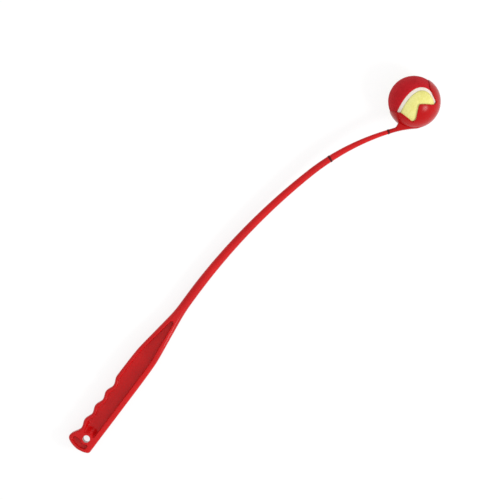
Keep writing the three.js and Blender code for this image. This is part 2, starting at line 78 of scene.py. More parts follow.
halves = [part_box("ball_core_front"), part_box("ball_core_back")]
low = Vector([min(h[0][i] for h in halves) for i in range(3)])
high = Vector([max(h[1][i] for h in halves) for i in range(3)])
turned = Matrix((along, across, square)).transposed() * MM
hole = (low + high) / 2 - turned @ BALL_CENTRE
TO_FRAME = Matrix.Translation(hole) @ turned.to_4x4()
print("the hang hole is at", [round(c, 4) for c in hole])

# %% [markdown]
# ## Small helpers
# Blender's operators act on all that is selected, so each helper first clears the selection. `loft` is the
# main one: a circle is added, its points are set on the first ring, and its face is then extruded from
# ring to ring. It makes a closed bar whose section changes all the way along.

# %% Selecting


def deselect():
    if bpy.context.object and bpy.context.object.mode != "OBJECT":
        bpy.ops.object.mode_set(mode="OBJECT")
    bpy.ops.object.select_all(action="DESELECT")


def choose(piece):
    deselect()
    piece.select_set(True)
    bpy.context.view_layer.objects.active = piece


# %% Rings and lofts


def first_ring(name, ring):
    """A new piece in edit mode, with a circle whose points lie on the ring."""
    deselect()
    bpy.ops.mesh.primitive_circle_add(vertices=len(ring), radius=1, enter_editmode=True)
    piece = bpy.context.object
    piece.name = piece.data.name = name
    shape = bmesh.from_edit_mesh(piece.data)
    shape.verts.ensure_lookup_table()
    for vert, point in zip(shape.verts, ring):
        vert.co = point
    bmesh.update_edit_mesh(piece.data)
    return piece


def extrude_to(piece, old, new, operator):
    """Extrudes what is selected, and moves each new point from its place in the old row to the new one."""
    operator()
    shape = bmesh.from_edit_mesh(piece.data)
    place = {tuple(round(c, 4) for c in point): i for i, point in enumerate(old)}
    for vert in shape.verts:
        if vert.select:
            vert.co = new[place[tuple(round(c, 4) for c in vert.co)]]
    bmesh.update_edit_mesh(piece.data)


def settle_normals():
    """Turns all faces of the piece in edit mode the same way, and leaves edit mode."""
    bpy.ops.mesh.select_all(action="SELECT")
    bpy.ops.mesh.normals_make_consistent(inside=False)
    deselect()


def loft(name, rings):
    piece = first_ring(name, rings[0])
    bpy.ops.mesh.edge_face_add()
    for old, new in zip(rings, rings[1:]):
        extrude_to(piece, old, new, bpy.ops.mesh.extrude_region_move)
    settle_normals()
    return piece


# %% [markdown]
# ## The shaft's line and section
# The shaft bends through three arcs in a row, each tighter than the last. Its section is an upright
# rounded bar that gets thinner all the way to the neck. A bevelled curve would keep one section all along,
# so here a formula gives the line, and a ring of points is placed on it wherever one is wanted.

# %% Measures of the shaft, in millimetres and degrees
GRIP_END = 200
SHAFT_START = (GRIP_END, 2.5, math.radians(2.6))
BENDS = [(840, 17.1), (310, 22.9), (130, 11.85)]
SHAFT_LENGTH = sum(radius * math.radians(turn) for radius, turn in BENDS)
UPPER_RING = SHAFT_LENGTH - 35.8
LOWER_RING = UPPER_RING - 83.5
RING_WIDTH = 2.8
TIP_THICKNESS, ROOT_DEPTH = 13, 18
NECK_END_THICKNESS, NECK_END_DEPTH = 5.7, 16
STATIONS = [
    (0, TIP_THICKNESS, ROOT_DEPTH),
    (12, 12.1, ROOT_DEPTH),
    (45, 12.1, ROOT_DEPTH),
    (LOWER_RING, 8.6, 15.6),
    (UPPER_RING, 5.5, 13.6),
    (SHAFT_LENGTH, NECK_END_THICKNESS, NECK_END_DEPTH),
]
CORNER_STEPS, SECTION_SPACING = 6, 4.5
print("shaft length:", round(SHAFT_LENGTH, 1))

# %% A point of the shaft, and a rounded section there


def mix(a, b, share):
    return a + (b - a) * share


def clamp(value, low=0.0, high=1.0):
    return max(low, min(high, value))


def shaft_point(distance):
    """Where the shaft is at a distance from the grip's end, and where it heads."""
    x, y, heading = SHAFT_START
    left = distance
    for i, (radius, turn) in enumerate(BENDS):
        whole = radius * math.radians(turn)
        run = left if i == len(BENDS) - 1 else min(left, whole)
        after = heading - run / radius
        x += radius * (math.sin(heading) - math.sin(after))
        y += radius * (math.cos(after) - math.cos(heading))
        heading = after
        left -= run
    return x, y, heading


def section(point, up, down, half_depth, rounding):
    """A ring of points: a rounded rectangle square to the heading."""
    x, y, heading = point
    edge = min(rounding, (up + down) / 2, half_depth) * 0.999
    side = Vector((-math.sin(heading), math.cos(heading), 0))
    corners = [
        (up - edge, half_depth - edge),
        (edge - down, half_depth - edge),
        (edge - down, edge - half_depth),
        (up - edge, edge - half_depth),
    ]
    ring = []
    for quarter, (reach, height) in enumerate(corners):
        for k in range(CORNER_STEPS + 1):
            turn = math.pi / 2 * (quarter + k / CORNER_STEPS)
            spot = Vector((x, y, 0)) + side * (reach + edge * math.cos(turn))
            spot.z = height + edge * math.sin(turn)
            ring.append(spot)
    return ring


def shaft_halves(distance):
    """Half the thickness and half the depth of the shaft at a distance."""
    last = next((i for i in range(1, len(STATIONS)) if STATIONS[i][0] >= distance), len(STATIONS) - 1)
    start, thickness_a, depth_a = STATIONS[last - 1]
    end, thickness_b, depth_b = STATIONS[last]
    share = clamp((distance - start) / (end - start))
    return mix(thickness_a, thickness_b, share) / 2, mix(depth_a, depth_b, share) / 2


def shaft_section(distance, inset=0.0):
    half, half_depth = shaft_halves(distance)
    return section(shaft_point(distance), half - inset, half - inset, half_depth - inset, half - inset)


def shaft_sections(start, end):
    steps = max(1, math.ceil((end - start) / SECTION_SPACING))
    return [shaft_section(start + (end - start) * i / steps) for i in range(steps + 1)]


print("the shaft ends at", [round(value, 1) for value in shaft_point(SHAFT_LENGTH)[:2]])

# %% [markdown]
# ## The grip's outline
# The palm side is one straight line. The finger side has grooves for the fingers and a flared corner at the
# heel, and both sides taper together into the shaft. Each side is a function of x, so the loft can ask for
# the width of the grip wherever it needs a ring.

# %% Measures of the grip
PALM_EDGE, FINGER_EDGE = 14.1, 18.0
GROOVE_FLOOR, GROOVE_CREST, GROOVE_PITCH = 14.0, 17.2, 22.7
FIRST_GROOVE, LAST_RISE = 8.0, 13.0
LAST_GROOVE = FIRST_GROOVE + 3 * GROOVE_PITCH
FINGER_SHOULDER, PALM_SHOULDER = 129.0, 127.0
HEEL_REACH, HEEL_MIDDLE, HEEL_RADIUS = 17.8, 2.5, 30.0
HEEL_CREST, HEEL_CREST_AT, FINGER_CORNER = 20.4, -8.64, 6.0
PALM_CORNER_AT, PALM_CORNER = -10.25, 4.5
FINGER_TURN, PALM_TURN = -13.85, -14.2
HALF_DEPTH, GRIP_ROUND, DEPTH_TAPER = 12.0, 4.0, 140.0
print("grip:", HEEL_REACH + GRIP_END, "long and", PALM_EDGE + FINGER_EDGE, "wide")

# %% The two sides of the grip


def wave(start, end, share):
    return start + (end - start) * (1 - math.cos(math.pi * share)) / 2


def heel_half(x, radius):
    centre = HEEL_RADIUS - HEEL_REACH
    return math.sqrt(max(0.0, radius**2 - min(0.0, x - centre) ** 2))


def corner_arc(x, centre, radius):
    return math.sqrt(max(0.0, radius**2 - (x - centre) ** 2))


def finger_side(x):
    if x < FINGER_TURN:
        return HEEL_MIDDLE + heel_half(x, HEEL_RADIUS)
    if x < HEEL_CREST_AT:
        return HEEL_CREST - FINGER_CORNER + corner_arc(x, HEEL_CREST_AT, FINGER_CORNER)
    if x < FIRST_GROOVE:
        return wave(HEEL_CREST, GROOVE_FLOOR, (x - HEEL_CREST_AT) / (FIRST_GROOVE - HEEL_CREST_AT))
    if x < LAST_GROOVE:
        return wave(GROOVE_FLOOR, GROOVE_CREST, ((x - FIRST_GROOVE) / GROOVE_PITCH) % 1 * 2)
    if x < LAST_GROOVE + LAST_RISE:
        return wave(GROOVE_FLOOR, FINGER_EDGE, (x - LAST_GROOVE) / LAST_RISE)
    share = max(0.0, (x - FINGER_SHOULDER) / (GRIP_END - FINGER_SHOULDER))
    return mix(FINGER_EDGE, SHAFT_START[1] + TIP_THICKNESS / 2, share)


def palm_side(x):
    if x < PALM_TURN:
        return HEEL_MIDDLE - heel_half(x, HEEL_RADIUS)
    if x < PALM_CORNER_AT:
        return PALM_CORNER - PALM_EDGE - corner_arc(x, PALM_CORNER_AT, PALM_CORNER)
    share = max(0.0, (x - PALM_SHOULDER) / (GRIP_END - PALM_SHOULDER))
    return mix(-PALM_EDGE, SHAFT_START[1] - TIP_THICKNESS / 2, share)


def taper_share(x):
    return clamp((x - DEPTH_TAPER) / (GRIP_END - DEPTH_TAPER))


def grip_half_depth(x):
    into_heel = max(0.0, GRIP_ROUND - (x + HEEL_REACH))
    full = HALF_DEPTH - GRIP_ROUND + math.sqrt(GRIP_ROUND**2 - into_heel**2)
    return wave(full, ROOT_DEPTH / 2, taper_share(x))


print("width at the first groove:", round(finger_side(FIRST_GROOVE) - palm_side(FIRST_GROOVE), 1))

# %% [markdown]
# The rings lie close together where the outline bends, and far apart along its plain parts. Near the shoulder
# they are averaged with their neighbours a few times, which rounds the shoulder off.

# %% Loft the grip and the lower shaft in one bar
heel_steps = [-HEEL_REACH + (HEEL_REACH + HEEL_CREST_AT) * (i / 16) ** 2 for i in range(1, 17)]
flare_steps = [mix(HEEL_CREST_AT, FIRST_GROOVE, i / 12) for i in range(1, 12)]
groove_steps = [mix(FIRST_GROOVE, LAST_GROOVE, i / 48) for i in range(48)]
rise_steps = [mix(LAST_GROOVE, LAST_GROOVE + LAST_RISE, i / 9) for i in range(10)]
plain_steps = [PALM_SHOULDER - 19, PALM_SHOULDER - 2, FINGER_SHOULDER + 2]
taper_steps = [mix(FINGER_SHOULDER + 4, GRIP_END - 15.5, i / 14) for i in range(15)]
taper_steps += [GRIP_END - 8.5, GRIP_END - 4.0]
grip_stations = heel_steps + flare_steps + groove_steps + rise_steps + plain_steps + taper_steps

SOFT_FROM, SOFT_TO, SOFT_PASSES = 100.0, 250.0, 6

bar_rings = []
for x in grip_stations:
    rounding = mix(GRIP_ROUND, TIP_THICKNESS / 2, taper_share(x))
    bar_rings.append(section((x, 0, 0), finger_side(x), -palm_side(x), grip_half_depth(x), rounding))
bar_rings += shaft_sections(0, LOWER_RING - RING_WIDTH / 2)
for _ in range(SOFT_PASSES):
    before = [[point.copy() for point in ring] for ring in bar_rings]
    for i in range(1, len(bar_rings) - 1):
        if SOFT_FROM < before[i][0].x < SOFT_TO:
            for k, point in enumerate(bar_rings[i]):
                point.xyz = (before[i - 1][k] + 2 * before[i][k] + before[i + 1][k]) / 4
handle = loft("grip_and_shaft", bar_rings)
print("rings of the handle:", len(bar_rings))

# %% [markdown]
# ## The recess
# The grip is hollowed from both sides down to a web, so that the plastic cools evenly in its mould. A boss
# round the hang hole stays standing and parts a small pocket at the heel from the long recess. A bevel on
# the finished grip would catch on the many edges that cross its flat face, so the cutter itself carries the
# soft edges: it is lofted from copies of the outline, a little smaller at the floor, a little wider where it
# leaves the grip. By the boss the wall of the long recess leans back, so the floor ends there in a ramp.

# %% Measures of the recess and the hang hole
FINGER_RIM, PALM_RIM, HEEL_RIM = 4.8, 7.0, 4.0
HALF_WEB, TIP_RADIUS, TIP_BACK = 2.0, 2.4, 11.6
HOLE_RADIUS, BOSS_SIDE, BOSS_BULGE = 4.7, 5.5, 2.7
POCKET_DEPTH, RAMP, RAMP_END = 5.0, 10.0, 30.0
GATE_MARK, GATE_RADIUS, GATE_CUT = (67.2, -11.9, HALF_DEPTH), 0.9, 1.6
ABOVE = 8.0  # how far a cutter stands over the grip
FLOOR_FILLET, FILLET_STEPS, RIM_EDGE, HOLE_EDGE = 0.9, 4, 0.9, 0.7
OUTLINE_STEP, OUTLINE_PASSES = 0.6, 14
RECESS_END = GRIP_END - TIP_BACK - TIP_RADIUS
POCKET_END = HEEL_RIM - HEEL_REACH
HEEL_INNER = HEEL_RADIUS - HEEL_RIM
print("the long recess ends at", RECESS_END + TIP_RADIUS)

# %% The outlines of the recess and the heel pocket


def rim_width(x, shoulder, wide, tip):
    return mix(wide, tip, clamp((x - shoulder) / (RECESS_END - shoulder)))


def recess_top(x):
    tip = finger_side(RECESS_END) - SHAFT_START[1] - TIP_RADIUS
    rim = rim_width(x, FINGER_SHOULDER, FINGER_RIM, tip)
    return min(finger_side(x) - rim, HEEL_MIDDLE + heel_half(x, HEEL_INNER))


def recess_foot(x):
    tip = SHAFT_START[1] - TIP_RADIUS - palm_side(RECESS_END)
    rim = rim_width(x, PALM_SHOULDER, PALM_RIM, tip)
    return max(palm_side(x) + rim, HEEL_MIDDLE - heel_half(x, HEEL_INNER))


def boss_line(side):
    """The boss's edge from the palm rim to the finger rim, on one side of the hole."""
    start, end = recess_foot(side * BOSS_SIDE), recess_top(side * BOSS_SIDE)
    line = []
    for k in range(21):
        y = mix(start, end, k / 20)
        bulge = math.cos(math.pi / 2 * clamp(y / start, -1, 1)) ** 2
        line.append((side * (BOSS_SIDE + BOSS_BULGE * bulge), y))
    return line


def long_outline():
    rest = [(a + b) / 2 for a, b in zip(grip_stations, grip_stations[1:])]
    stations = [x for x in rest if BOSS_SIDE + 1.5 < x < RECESS_END - 1] + [RECESS_END]
    outline = [(x, recess_foot(x)) for x in stations]
    for k in range(1, 8):
        turn = math.pi * (k / 8 - 0.5)
        rise = TIP_RADIUS * math.sin(turn)
        outline.append((RECESS_END + TIP_RADIUS * math.cos(turn), SHAFT_START[1] + rise))
    outline += [(x, recess_top(x)) for x in reversed(stations)]
    return outline + list(reversed(boss_line(1)))


def pocket_outline():
    heel = [POCKET_END + 4.6 * (i / 7) ** 2 for i in range(1, 8)]
    stations = [x for x in heel if x < -BOSS_SIDE - 1]
    outline = [(x, recess_top(x)) for x in reversed(stations)] + [(POCKET_END, HEEL_MIDDLE)]
    outline += [(x, recess_foot(x)) for x in stations]
    return outline + boss_line(-1)


print("points of the outlines:", len(long_outline()), len(pocket_outline()))

# %% Modifiers and booleans


def apply_modifiers(piece):
    choose(piece)
    for name in [m.name for m in piece.modifiers]:
        bpy.ops.object.modifier_apply(modifier=name)


def combine(piece, tool, operation):
    """A boolean of two closed pieces. The tool is used up."""
    choose(piece)
    boolean = piece.modifiers.new("Combine", "BOOLEAN")
    boolean.operation = operation
    boolean.solver = "EXACT"
    boolean.object = tool
    apply_modifiers(piece)
    bpy.data.objects.remove(tool)


def cut(piece, tool):
    combine(piece, tool, "DIFFERENCE")
    print(piece.name, "faces after the cut:", len(piece.data.polygons))


# %% Soft outlines


def evenly(points, count):
    """The same line with count even steps."""
    runs = [0.0]
    for a, b in zip(points, points[1:]):
        runs.append(runs[-1] + (b - a).length)
    even, i = [], 0
    for k in range(count + 1):
        goal = runs[-1] * k / count
        while i + 2 < len(runs) and runs[i + 1] < goal:
            i += 1
        share = (goal - runs[i]) / (runs[i + 1] - runs[i])
        even.append(points[i].lerp(points[i + 1], clamp(share)))
    return even


def soft_outline(outline):
    """The closed outline in even small steps, with its corners worn round."""
    corners = [Vector((x, y, 0)) for x, y in outline]
    length = sum((b - a).length for a, b in zip(corners, corners[1:] + corners[:1]))
    points = evenly(corners + corners[:1], round(length / OUTLINE_STEP))[:-1]
    for _ in range(OUTLINE_PASSES):
        after = points[1:] + points[:1]
        before = points[-1:] + points[:-1]
        points = [(a + 2 * b + c) / 4 for a, b, c in zip(before, points, after)]
    return points


def grown(points, amount):
    """A closed outline, moved outwards by an amount."""
    moved = []
    for i, point in enumerate(points):
        run = (points[(i + 1) % len(points)] - points[i - 1]).normalized()
        moved.append(point + Vector((run.y, -run.x, 0)) * amount)
    return moved


# %% Cut the hollows


def edge_profile(edge, steps=5, last=70):
    """How far a rounded rim has opened, and how far it still is below the flat face."""
    turns = [math.radians(last * k / steps) for k in range(steps + 1)]
    profile = [(edge * (1 - math.cos(t)), edge * (1 - math.sin(t))) for t in turns]
    opened, below = profile[-1]
    # From there the slope goes straight on past the flat face, and then the cutter stands upright.
    return profile + [(opened + 0.55 * edge, below - 0.2 * edge), (opened + 0.55 * edge, -ABOVE)]


def ramp(x, depth_share):
    """How far the wall by the boss leans into the long recess, at a share of its depth."""
    return RAMP * depth_share * wave(1, 0, clamp((x - BOSS_SIDE) / (RAMP_END - BOSS_SIDE)))


def cutter(outline, side, floor, edge, lean=0.0):
    """A tool that hollows one side of the grip down to a filleted floor, or to the middle for floor 0."""
    rings = []
    if floor:
        for k in range(FILLET_STEPS + 1):
            turn = math.pi / 2 * k / FILLET_STEPS
            smaller = grown(outline, FLOOR_FILLET * (math.sin(turn) - 1))
            lift = FLOOR_FILLET * (1 - math.cos(turn))
            share = 1 - lift / (HALF_DEPTH - floor)
            height = side * (floor + lift)
            rings.append([Vector((v.x + lean * ramp(v.x, share), v.y, height)) for v in smaller])
    else:
        rings.append([Vector((v.x, v.y, 0)) for v in outline])
    for opened, below in edge_profile(edge):
        wider = grown(outline, opened)
        rings.append([Vector((v.x, v.y, side * (grip_half_depth(v.x) - below))) for v in wider])
    return loft("hollow_cutter", rings)


for side in (1, -1):
    cut(handle, cutter(soft_outline(long_outline()), side, HALF_WEB, RIM_EDGE, lean=1.0))
    cut(handle, cutter(soft_outline(pocket_outline()), side, HALF_DEPTH - POCKET_DEPTH, RIM_EDGE))

# %% [markdown]
# The hang hole goes right through the boss, with the same soft edge on both faces. A dimple on the palm rim
# is where the plastic entered the mould. Weighted normals then keep the flat faces looking flat.

# %% Drill the hang hole and smooth the handle
HOLE_POINTS = 72


def smooth(piece, angle):
    choose(piece)
    bpy.ops.object.shade_smooth_by_angle(angle=math.radians(angle))


hole_edge = []
for k in range(HOLE_POINTS):
    turn = math.tau * k / HOLE_POINTS
    hole_edge.append(Vector((HOLE_RADIUS * math.cos(turn), HOLE_RADIUS * math.sin(turn), 0)))
upper, lower = [cutter(hole_edge, side, 0, HOLE_EDGE) for side in (1, -1)]
cut(handle, upper)
cut(handle, lower)

deselect()
bpy.ops.mesh.primitive_cylinder_add(vertices=24, radius=GATE_RADIUS, depth=GATE_CUT, location=GATE_MARK)
bpy.ops.object.transform_apply(location=True, rotation=False, scale=False)
cut(handle, bpy.context.object)
smooth(handle, 40)
choose(handle)
handle.modifiers.new("Flat faces", "WEIGHTED_NORMAL").keep_sharp = True
apply_modifiers(handle)

# %% [markdown]
# ## The link and the two dark rings
# The shaft is made in three sections. A narrow dark ring sits at each joint, a little proud of the shaft.
# They could be sliced out of one long bar, but a loft of its own stretch gives each piece clean closed ends,
# and it lines up with its neighbours because the sections come from the same function.

# %% Loft the link and the rings
RING_SUNK, RING_PROUD = 0.4, 0.35
link = loft("shaft_link_body", shaft_sections(LOWER_RING + RING_WIDTH / 2, UPPER_RING - RING_WIDTH / 2))
smooth(link, 60)


def joint_ring(name, at):
    """A ring with its ends sunk into the shaft, and round edges outside."""
    half = RING_WIDTH / 2
    profile = [(-half, RING_SUNK), (-half, -0.12), (-half + 0.12, -0.3), (-half + 0.4, -RING_PROUD)]
    profile += [(-s, inset) for s, inset in reversed(profile)]
    ring = loft(name, [shaft_section(at + s, inset) for s, inset in profile])
    smooth(ring, 50)
    return ring


lower_ring = joint_ring("lower_ring", LOWER_RING)
upper_ring = joint_ring("upper_ring", UPPER_RING)
print("faces of the link and a ring:", len(link.data.polygons), len(upper_ring.data.polygons))

# %% [markdown]
# ## The snap cup
# The cup is a bowl with a lively edge: two lips that reach past the middle of the ball, and on each flat side
# a pointed ear between two notches. Seen from the side, the edge is a W. It is made from its edge inwards:
# a ring of points runs along the W on the sphere, and rows of faces are extruded from it down to the bottom
# of the bowl. That gives even faces along the edge, which then takes a clean bevel; a cut through a finished
# sphere would leave slivers there. The lips have to spring open for the ball, so their wall gets thinner
# towards the tips.

# %% Measures of the cup
BALL_RADIUS, SEAT_GAP, CUP_WALL = 33.1, 0.2, 1.7
CUP_INSIDE = BALL_RADIUS + SEAT_GAP
CUP_RADIUS = CUP_INSIDE + CUP_WALL
LIP_REACH, LIP_ACROSS, LIP_SINK = 9.9, 25.2, 1.0
LIP_THINNING, THINNING_START, CUP_EDGE = 1.0, math.radians(75), 0.3
EAR_SINK, EAR_FALL = 7.4, 0.84
NOTCH_SINK, NOTCH_OUTER = 20.4, 20.6
LIP_ROUND, NOTCH_ROUND, EAR_ROUND = 3.0, 2.6, 3.6
LIP_TIP = math.sqrt(CUP_RADIUS**2 - LIP_REACH**2)
EDGE_POINTS, FINE_STEP = 224, 0.1
print("cup:", round(2 * CUP_INSIDE, 1), "wide inside,", round(2 * CUP_RADIUS, 1), "outside")

# %% The W along the cup's edge


def rounded(corners, steps=10):
    """Points along a row of (x, y, rounding) corners, from the first to the last."""
    path = [Vector(corners[0][:2])]
    for before, corner, after in zip(corners, corners[1:], corners[2:]):
        here = Vector(corner[:2])
        back = (Vector(before[:2]) - here).normalized()
        on = (Vector(after[:2]) - here).normalized()
        half = back.angle(on) / 2
        centre = here + (back + on).normalized() * corner[2] / math.sin(half)
        start = here + back * corner[2] / math.tan(half) - centre
        end = here + on * corner[2] / math.tan(half) - centre
        sweep = math.atan2(start.x * end.y - start.y * end.x, start.dot(end))
        for k in range(steps + 1):
            turn = sweep * k / steps
            path.append(centre + Matrix.Rotation(turn, 2) @ start)
    return path + [Vector(corners[-1][:2])]


def quarter_edge():
    """The edge from a lip's tip to an ear's tip, as points on the cup's sphere."""
    notch_inner = (NOTCH_SINK - EAR_SINK) / EAR_FALL
    corners = [
        (LIP_TIP, LIP_REACH, 0),
        (LIP_ACROSS, -LIP_SINK, LIP_ROUND),
        (NOTCH_OUTER, -NOTCH_SINK, NOTCH_ROUND),
        (notch_inner, -NOTCH_SINK, NOTCH_ROUND),
        (0, -EAR_SINK, EAR_ROUND),
        (-notch_inner, -NOTCH_SINK, 0),
    ]
    flat = [p for p in rounded(corners) if p.x >= -0.01]
    fine = []
    for a, b in zip(flat, flat[1:]):
        count = max(1, int((b - a).length / FINE_STEP))
        fine += [a + (b - a) * (k / count) ** 2 for k in range(count)]
    fine.append(Vector((0, flat[-1].y)))
    return [Vector((p.x, p.y, math.sqrt(max(0, CUP_RADIUS**2 - p.x**2 - p.y**2)))) for p in fine]


print("fine points on a quarter of the edge:", len(quarter_edge()))

# %% From a quarter of the edge to the whole, and to the bowl's circle
BOWL_CIRCLE = math.radians(45)


def bowl_azimuth(share):
    """Where the grid line from a place on the quarter edge meets the bowl's circle, in degrees."""
    knots = [(0.0, 0.0), (0.375, 18.0), (0.61, 36.0), (0.71, 53.0), (1.0, 90.0)]
    for (a, low), (b, high) in zip(knots, knots[1:]):
        if share <= b:
            return mix(low, high, (share - a) / (b - a))
    return 90.0


def all_round(quarter):
    """Four mirrored quarters in a row, as one closed line."""
    around = []
    for turn, (fx, fz) in enumerate([(1, 1), (-1, 1), (-1, -1), (1, -1)]):
        part = quarter[:-1] if turn % 2 == 0 else list(reversed(quarter))[:-1]
        around += [Vector((v.x * fx, v.y, v.z * fz)) for v in part]
    return around


# %% [markdown]
# The rows of faces lie between the W and a plain circle round the bottom. Each row is a share of the way from
# one to the other, over the sphere. The rows near the edge keep the W's shape, and those further down are
# relaxed, so that their faces grow even.

# %% Moving lines over the sphere


def step_inside(line, distance, radius):
    """A closed line on a sphere, moved sideways over the sphere. A negative distance goes the other way."""
    turn = distance / radius
    moved = []
    for i, spot in enumerate(line):
        run = line[(i + 1) % len(line)] - line[i - 1]
        side = spot.cross(run).normalized()
        moved.append((spot.normalized() * math.cos(turn) + side * math.sin(turn)) * radius)
    return moved


def slide(start, end, share, radius):
    """A line on the sphere, a share of the way between two others, point by point."""
    return [a.normalized().slerp(b.normalized(), share) * radius for a, b in zip(start, end)]


def relax(rows, radius, first, passes):
    """Lets the points of the inner rows drift to the middle of their four neighbours, on the sphere."""
    for _ in range(passes):
        before = [list(row) for row in rows]
        for r in range(first, len(rows) - 1):
            for i in range(len(rows[r])):
                right = before[r][(i + 1) % len(rows[r])]
                spot = before[r - 1][i] + before[r + 1][i] + before[r][i - 1] + right
                rows[r][i] = spot.normalized() * radius
    return rows


# %% The rows of the cup
EDGE_BAND = 1.5
SIDE_ROWS, BOTTOM_ROWS, STILL_ROWS, RELAX_PASSES = 14, 10, 9, 6


def cup_rows():
    count = EDGE_POINTS // 4
    edge = all_round(evenly(quarter_edge(), count))
    flat, low = math.sin(BOWL_CIRCLE) * CUP_RADIUS, -math.cos(BOWL_CIRCLE) * CUP_RADIUS
    circle = []
    for k in range(count + 1):
        azimuth = math.radians(bowl_azimuth(k / count))
        circle.append(Vector((flat * math.cos(azimuth), low, flat * math.sin(azimuth))))
    circle = all_round(circle)
    last = [Vector((0, -CUP_RADIUS, 0))] * len(circle)
    band = step_inside(edge, EDGE_BAND, CUP_RADIUS)
    rows = [edge] + [slide(band, circle, i / SIDE_ROWS, CUP_RADIUS) for i in range(SIDE_ROWS + 1)]
    rows += [slide(circle, last, i / BOTTOM_ROWS, CUP_RADIUS) for i in range(1, BOTTOM_ROWS)]
    return relax(rows + [last], CUP_RADIUS, STILL_ROWS, RELAX_PASSES)[:-1]


bowl_rows = cup_rows()
print("rows of the cup:", len(bowl_rows))

# %% Extrude the bowl and give it its wall
INTO_CUP = Matrix.Translation(BALL_CENTRE) @ Matrix.Rotation(MOUTH_HEADING - math.pi / 2, 4, "Z")


def grow_rows(name, rows):
    """A sheet of faces in edit mode, extruded from row to row."""
    piece = first_ring(name, rows[0])
    for old, new in zip(rows, rows[1:]):
        extrude_to(piece, old, new, bpy.ops.mesh.extrude_edges_move)
    return piece


def face_outwards(piece):
    """Turns the faces of a shell round the origin away from it."""
    facing = sum(f.normal.dot(f.center) for f in piece.data.polygons)
    if facing < 0:
        piece.data.flip_normals()


def thicken(piece, wall):
    solid = piece.modifiers.new("Wall", "SOLIDIFY")
    solid.thickness = wall
    solid.offset = -1
    apply_modifiers(piece)


cup = grow_rows("snap_cup", bowl_rows)
bpy.ops.mesh.edge_face_add()
bpy.ops.mesh.poke()
settle_normals()
face_outwards(cup)
thicken(cup, CUP_WALL)

# %% Thin the lips and round the edge
SHARP_ANGLE = math.radians(50)


def bevel_sharp(piece, angle, width):
    """Rounds the edges where two faces meet at more than the angle."""
    choose(piece)
    bpy.ops.object.mode_set(mode="EDIT")
    bpy.ops.mesh.select_mode(type="EDGE")
    bpy.ops.mesh.select_all(action="DESELECT")
    shape = bmesh.from_edit_mesh(piece.data)
    sharp = [edge for edge in shape.edges if edge.calc_face_angle(0) > angle]
    for edge in sharp:
        edge.select = True
    bmesh.update_edit_mesh(piece.data)
    bpy.ops.mesh.bevel(offset=width, segments=3, profile=0.5, clamp_overlap=False)
    bpy.ops.object.mode_set(mode="OBJECT")
    print(piece.name, "bevelled edges:", len(sharp))


lip_turn = math.pi / 2 + math.asin(LIP_REACH / CUP_RADIUS)
for vert in cup.data.vertices:
    if vert.co.length > CUP_RADIUS - CUP_WALL / 2:
        turn = math.atan2(math.hypot(vert.co.x, vert.co.z), -vert.co.y)
        thinner = LIP_THINNING * clamp((turn - THINNING_START) / (lip_turn - THINNING_START))
        vert.co *= (CUP_RADIUS - thinner) / CUP_RADIUS
bevel_sharp(cup, SHARP_ANGLE, CUP_EDGE)
cup.data.transform(INTO_CUP)

# %% [markdown]
# The neck is the shaft's last stretch. Its inner side rises to the cup in a small web, and its end runs along
# the back of the cup as a low ridge and sinks into it. Both are in the sections of the loft, so no fillet is
# needed afterwards. A sphere first trims what would reach into the bowl, and a union then makes one moulding
# of the two.

# %% Loft the neck and join it to the cup
TAIL_RUN, TAIL_STEPS, TAIL_CURVE = 24.0, 12, 1.5
WEB_RUN, WEB_RISE, WEB_CURVE, WEB_MOST = 27.5, 0.068, 2.3, 6.0
NECK_ROOT = 1.3  # how deep the neck reaches into the cup's wall


def web_rise(left):
    """How far the neck's inner side rises above the plain shaft, with that much of the neck left."""
    return min(WEB_MOST, WEB_RISE * max(0.0, WEB_RUN - left) ** WEB_CURVE)


def neck_sections():
    start = UPPER_RING + RING_WIDTH / 2
    steps = round(SHAFT_LENGTH - start)
    rings = []
    for i in range(steps + 1):
        distance = mix(start, SHAFT_LENGTH, i / steps)
        half, half_depth = shaft_halves(distance)
        rise = web_rise(SHAFT_LENGTH - distance)
        rings.append(section(shaft_point(distance), half + rise, half, half_depth, half))
    end_x, end_y, heading = shaft_point(SHAFT_LENGTH)
    half = NECK_END_THICKNESS / 2
    start_reach = math.hypot(end_x - BALL_CENTRE.x, end_y - BALL_CENTRE.y)
    for i in range(1, TAIL_STEPS + 1):
        share = i / TAIL_STEPS
        turned = heading + TAIL_RUN * share / CUP_RADIUS
        reach = mix(start_reach, CUP_RADIUS - 2 * half, share**TAIL_CURVE)
        x = BALL_CENTRE.x + reach * math.sin(turned)
        y = BALL_CENTRE.y - reach * math.cos(turned)
        depth = NECK_END_DEPTH / 2 * math.sqrt(max(0, 1 - share**2)) + half * share
        rings.append(section((x, y, turned), half, half, depth, half))
    return rings


neck = loft("neck", neck_sections())
inner = CUP_RADIUS - NECK_ROOT
bpy.ops.mesh.primitive_uv_sphere_add(segments=96, ring_count=48, radius=inner, location=BALL_CENTRE)
bpy.ops.object.transform_apply(location=True, rotation=False, scale=False)
cut(neck, bpy.context.object)
combine(cup, neck, "UNION")
smooth(cup, 35)
print("faces of the cup and neck:", len(cup.data.polygons))

# %% [markdown]
# ## The ball
# Two pieces of felt shaped like a dog's bone wrap a rubber core, and a whitish line of glue shows between
# them. The line is where a saddle cuts the sphere. It has the same shape on both sides, so one felt panel is
# made and its twin is a copy turned half round. A colour on one sphere would give the pattern but not the
# step, so a panel is made like the cup: from its edge inwards, to a line down its middle. Near the edge the
# felt curls down to the glue.

